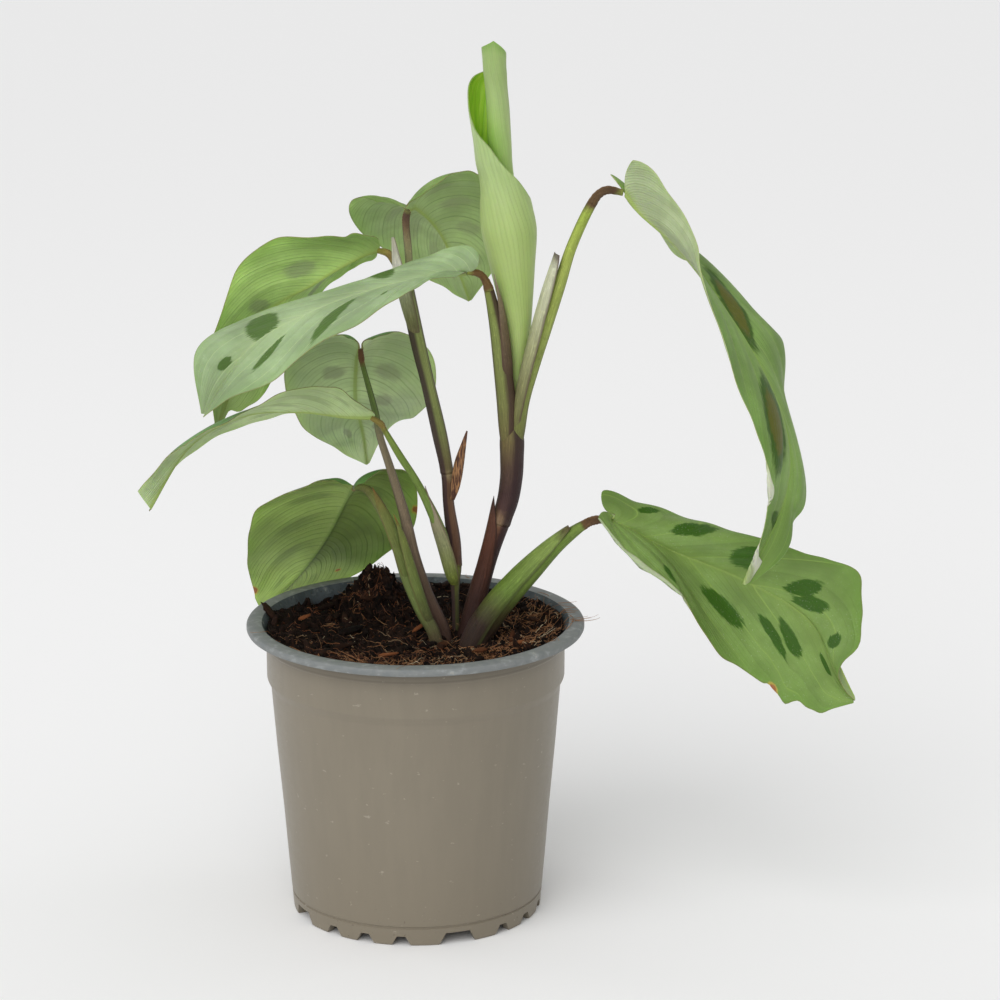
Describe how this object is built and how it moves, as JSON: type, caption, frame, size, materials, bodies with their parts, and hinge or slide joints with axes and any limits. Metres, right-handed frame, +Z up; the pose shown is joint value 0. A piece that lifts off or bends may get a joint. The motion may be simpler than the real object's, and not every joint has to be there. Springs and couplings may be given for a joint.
{
  "type": "potted prayer plant maranta",
  "caption": "Small potted foliage plant: spreading oval leaves on thin arching stalks and a rolled young leaf, growing from soil in a round lipped nursery pot.",
  "frame": {"origin": "on the ground under the middle of the plant's bounding box, a few centimetres right of the pot's axis", "axes": "+Z up; the picture looks along +Y, so -Y is the front and +X is its right"},
  "size_m": [0.2489, 0.1285, 0.311],
  "materials": {
    "pot": "satin moulded plastic, warm grey",
    "soil": "crumbly peat and coir, matte",
    "stem_brown": "reddish-brown sheath, satin",
    "stem_purple": "purple-brown stem, satin",
    "stem_green": "green stalk, satin",
    "stem_sheath": "green-brown leaf sheath, satin",
    "leaf_joint": "brown swollen leaf joint, satin",
    "dry_bract": "dry papery bract, matte",
    "leaf_upper": "green blade with darker blotches, soft sheen",
    "leaf_underside": "pale grey-green blade, matte",
    "leaf_young": "pale green young blade, soft sheen"
  },
  "bodies": {
    "root": {"pot": "pot", "soil": "soil", "shoot_front_base": "stem_brown", "shoot_front_stem": "stem_purple", "stalk_front_long": "stem_sheath", "pulvinus_front_long": "leaf_joint", "stalk_drooping": "stem_green", "pulvinus_drooping": "leaf_joint", "stalk_right_low": "stem_green", "pulvinus_right_low": "leaf_joint", "shoot_back_foot": "stem_green", "shoot_back_stem": "stem_purple", "shoot_back_sheath": "stem_sheath", "stalk_back_high": "stem_green", "pulvinus_back_high": "leaf_joint", "stalk_left_high": "stem_green", "pulvinus_left_high": "leaf_joint", "stalk_back_mid": "stem_green", "pulvinus_back_mid": "leaf_joint", "stalk_left_low": "stem_green", "pulvinus_left_low": "leaf_joint", "stalk_over_rim": "stem_sheath", "pulvinus_over_rim": "leaf_joint", "dry_bract": "dry_bract", "leaf_left_high": "leaf_underside", "leaf_back_high": "leaf_underside", "leaf_front_long": "leaf_upper", "leaf_back_mid": "leaf_underside", "leaf_left_low": "leaf_underside", "leaf_over_rim": "leaf_underside", "leaf_drooping": "leaf_upper", "leaf_right_low": "leaf_upper", "leaf_rolled": "leaf_young"}
  },
  "joints": []
}
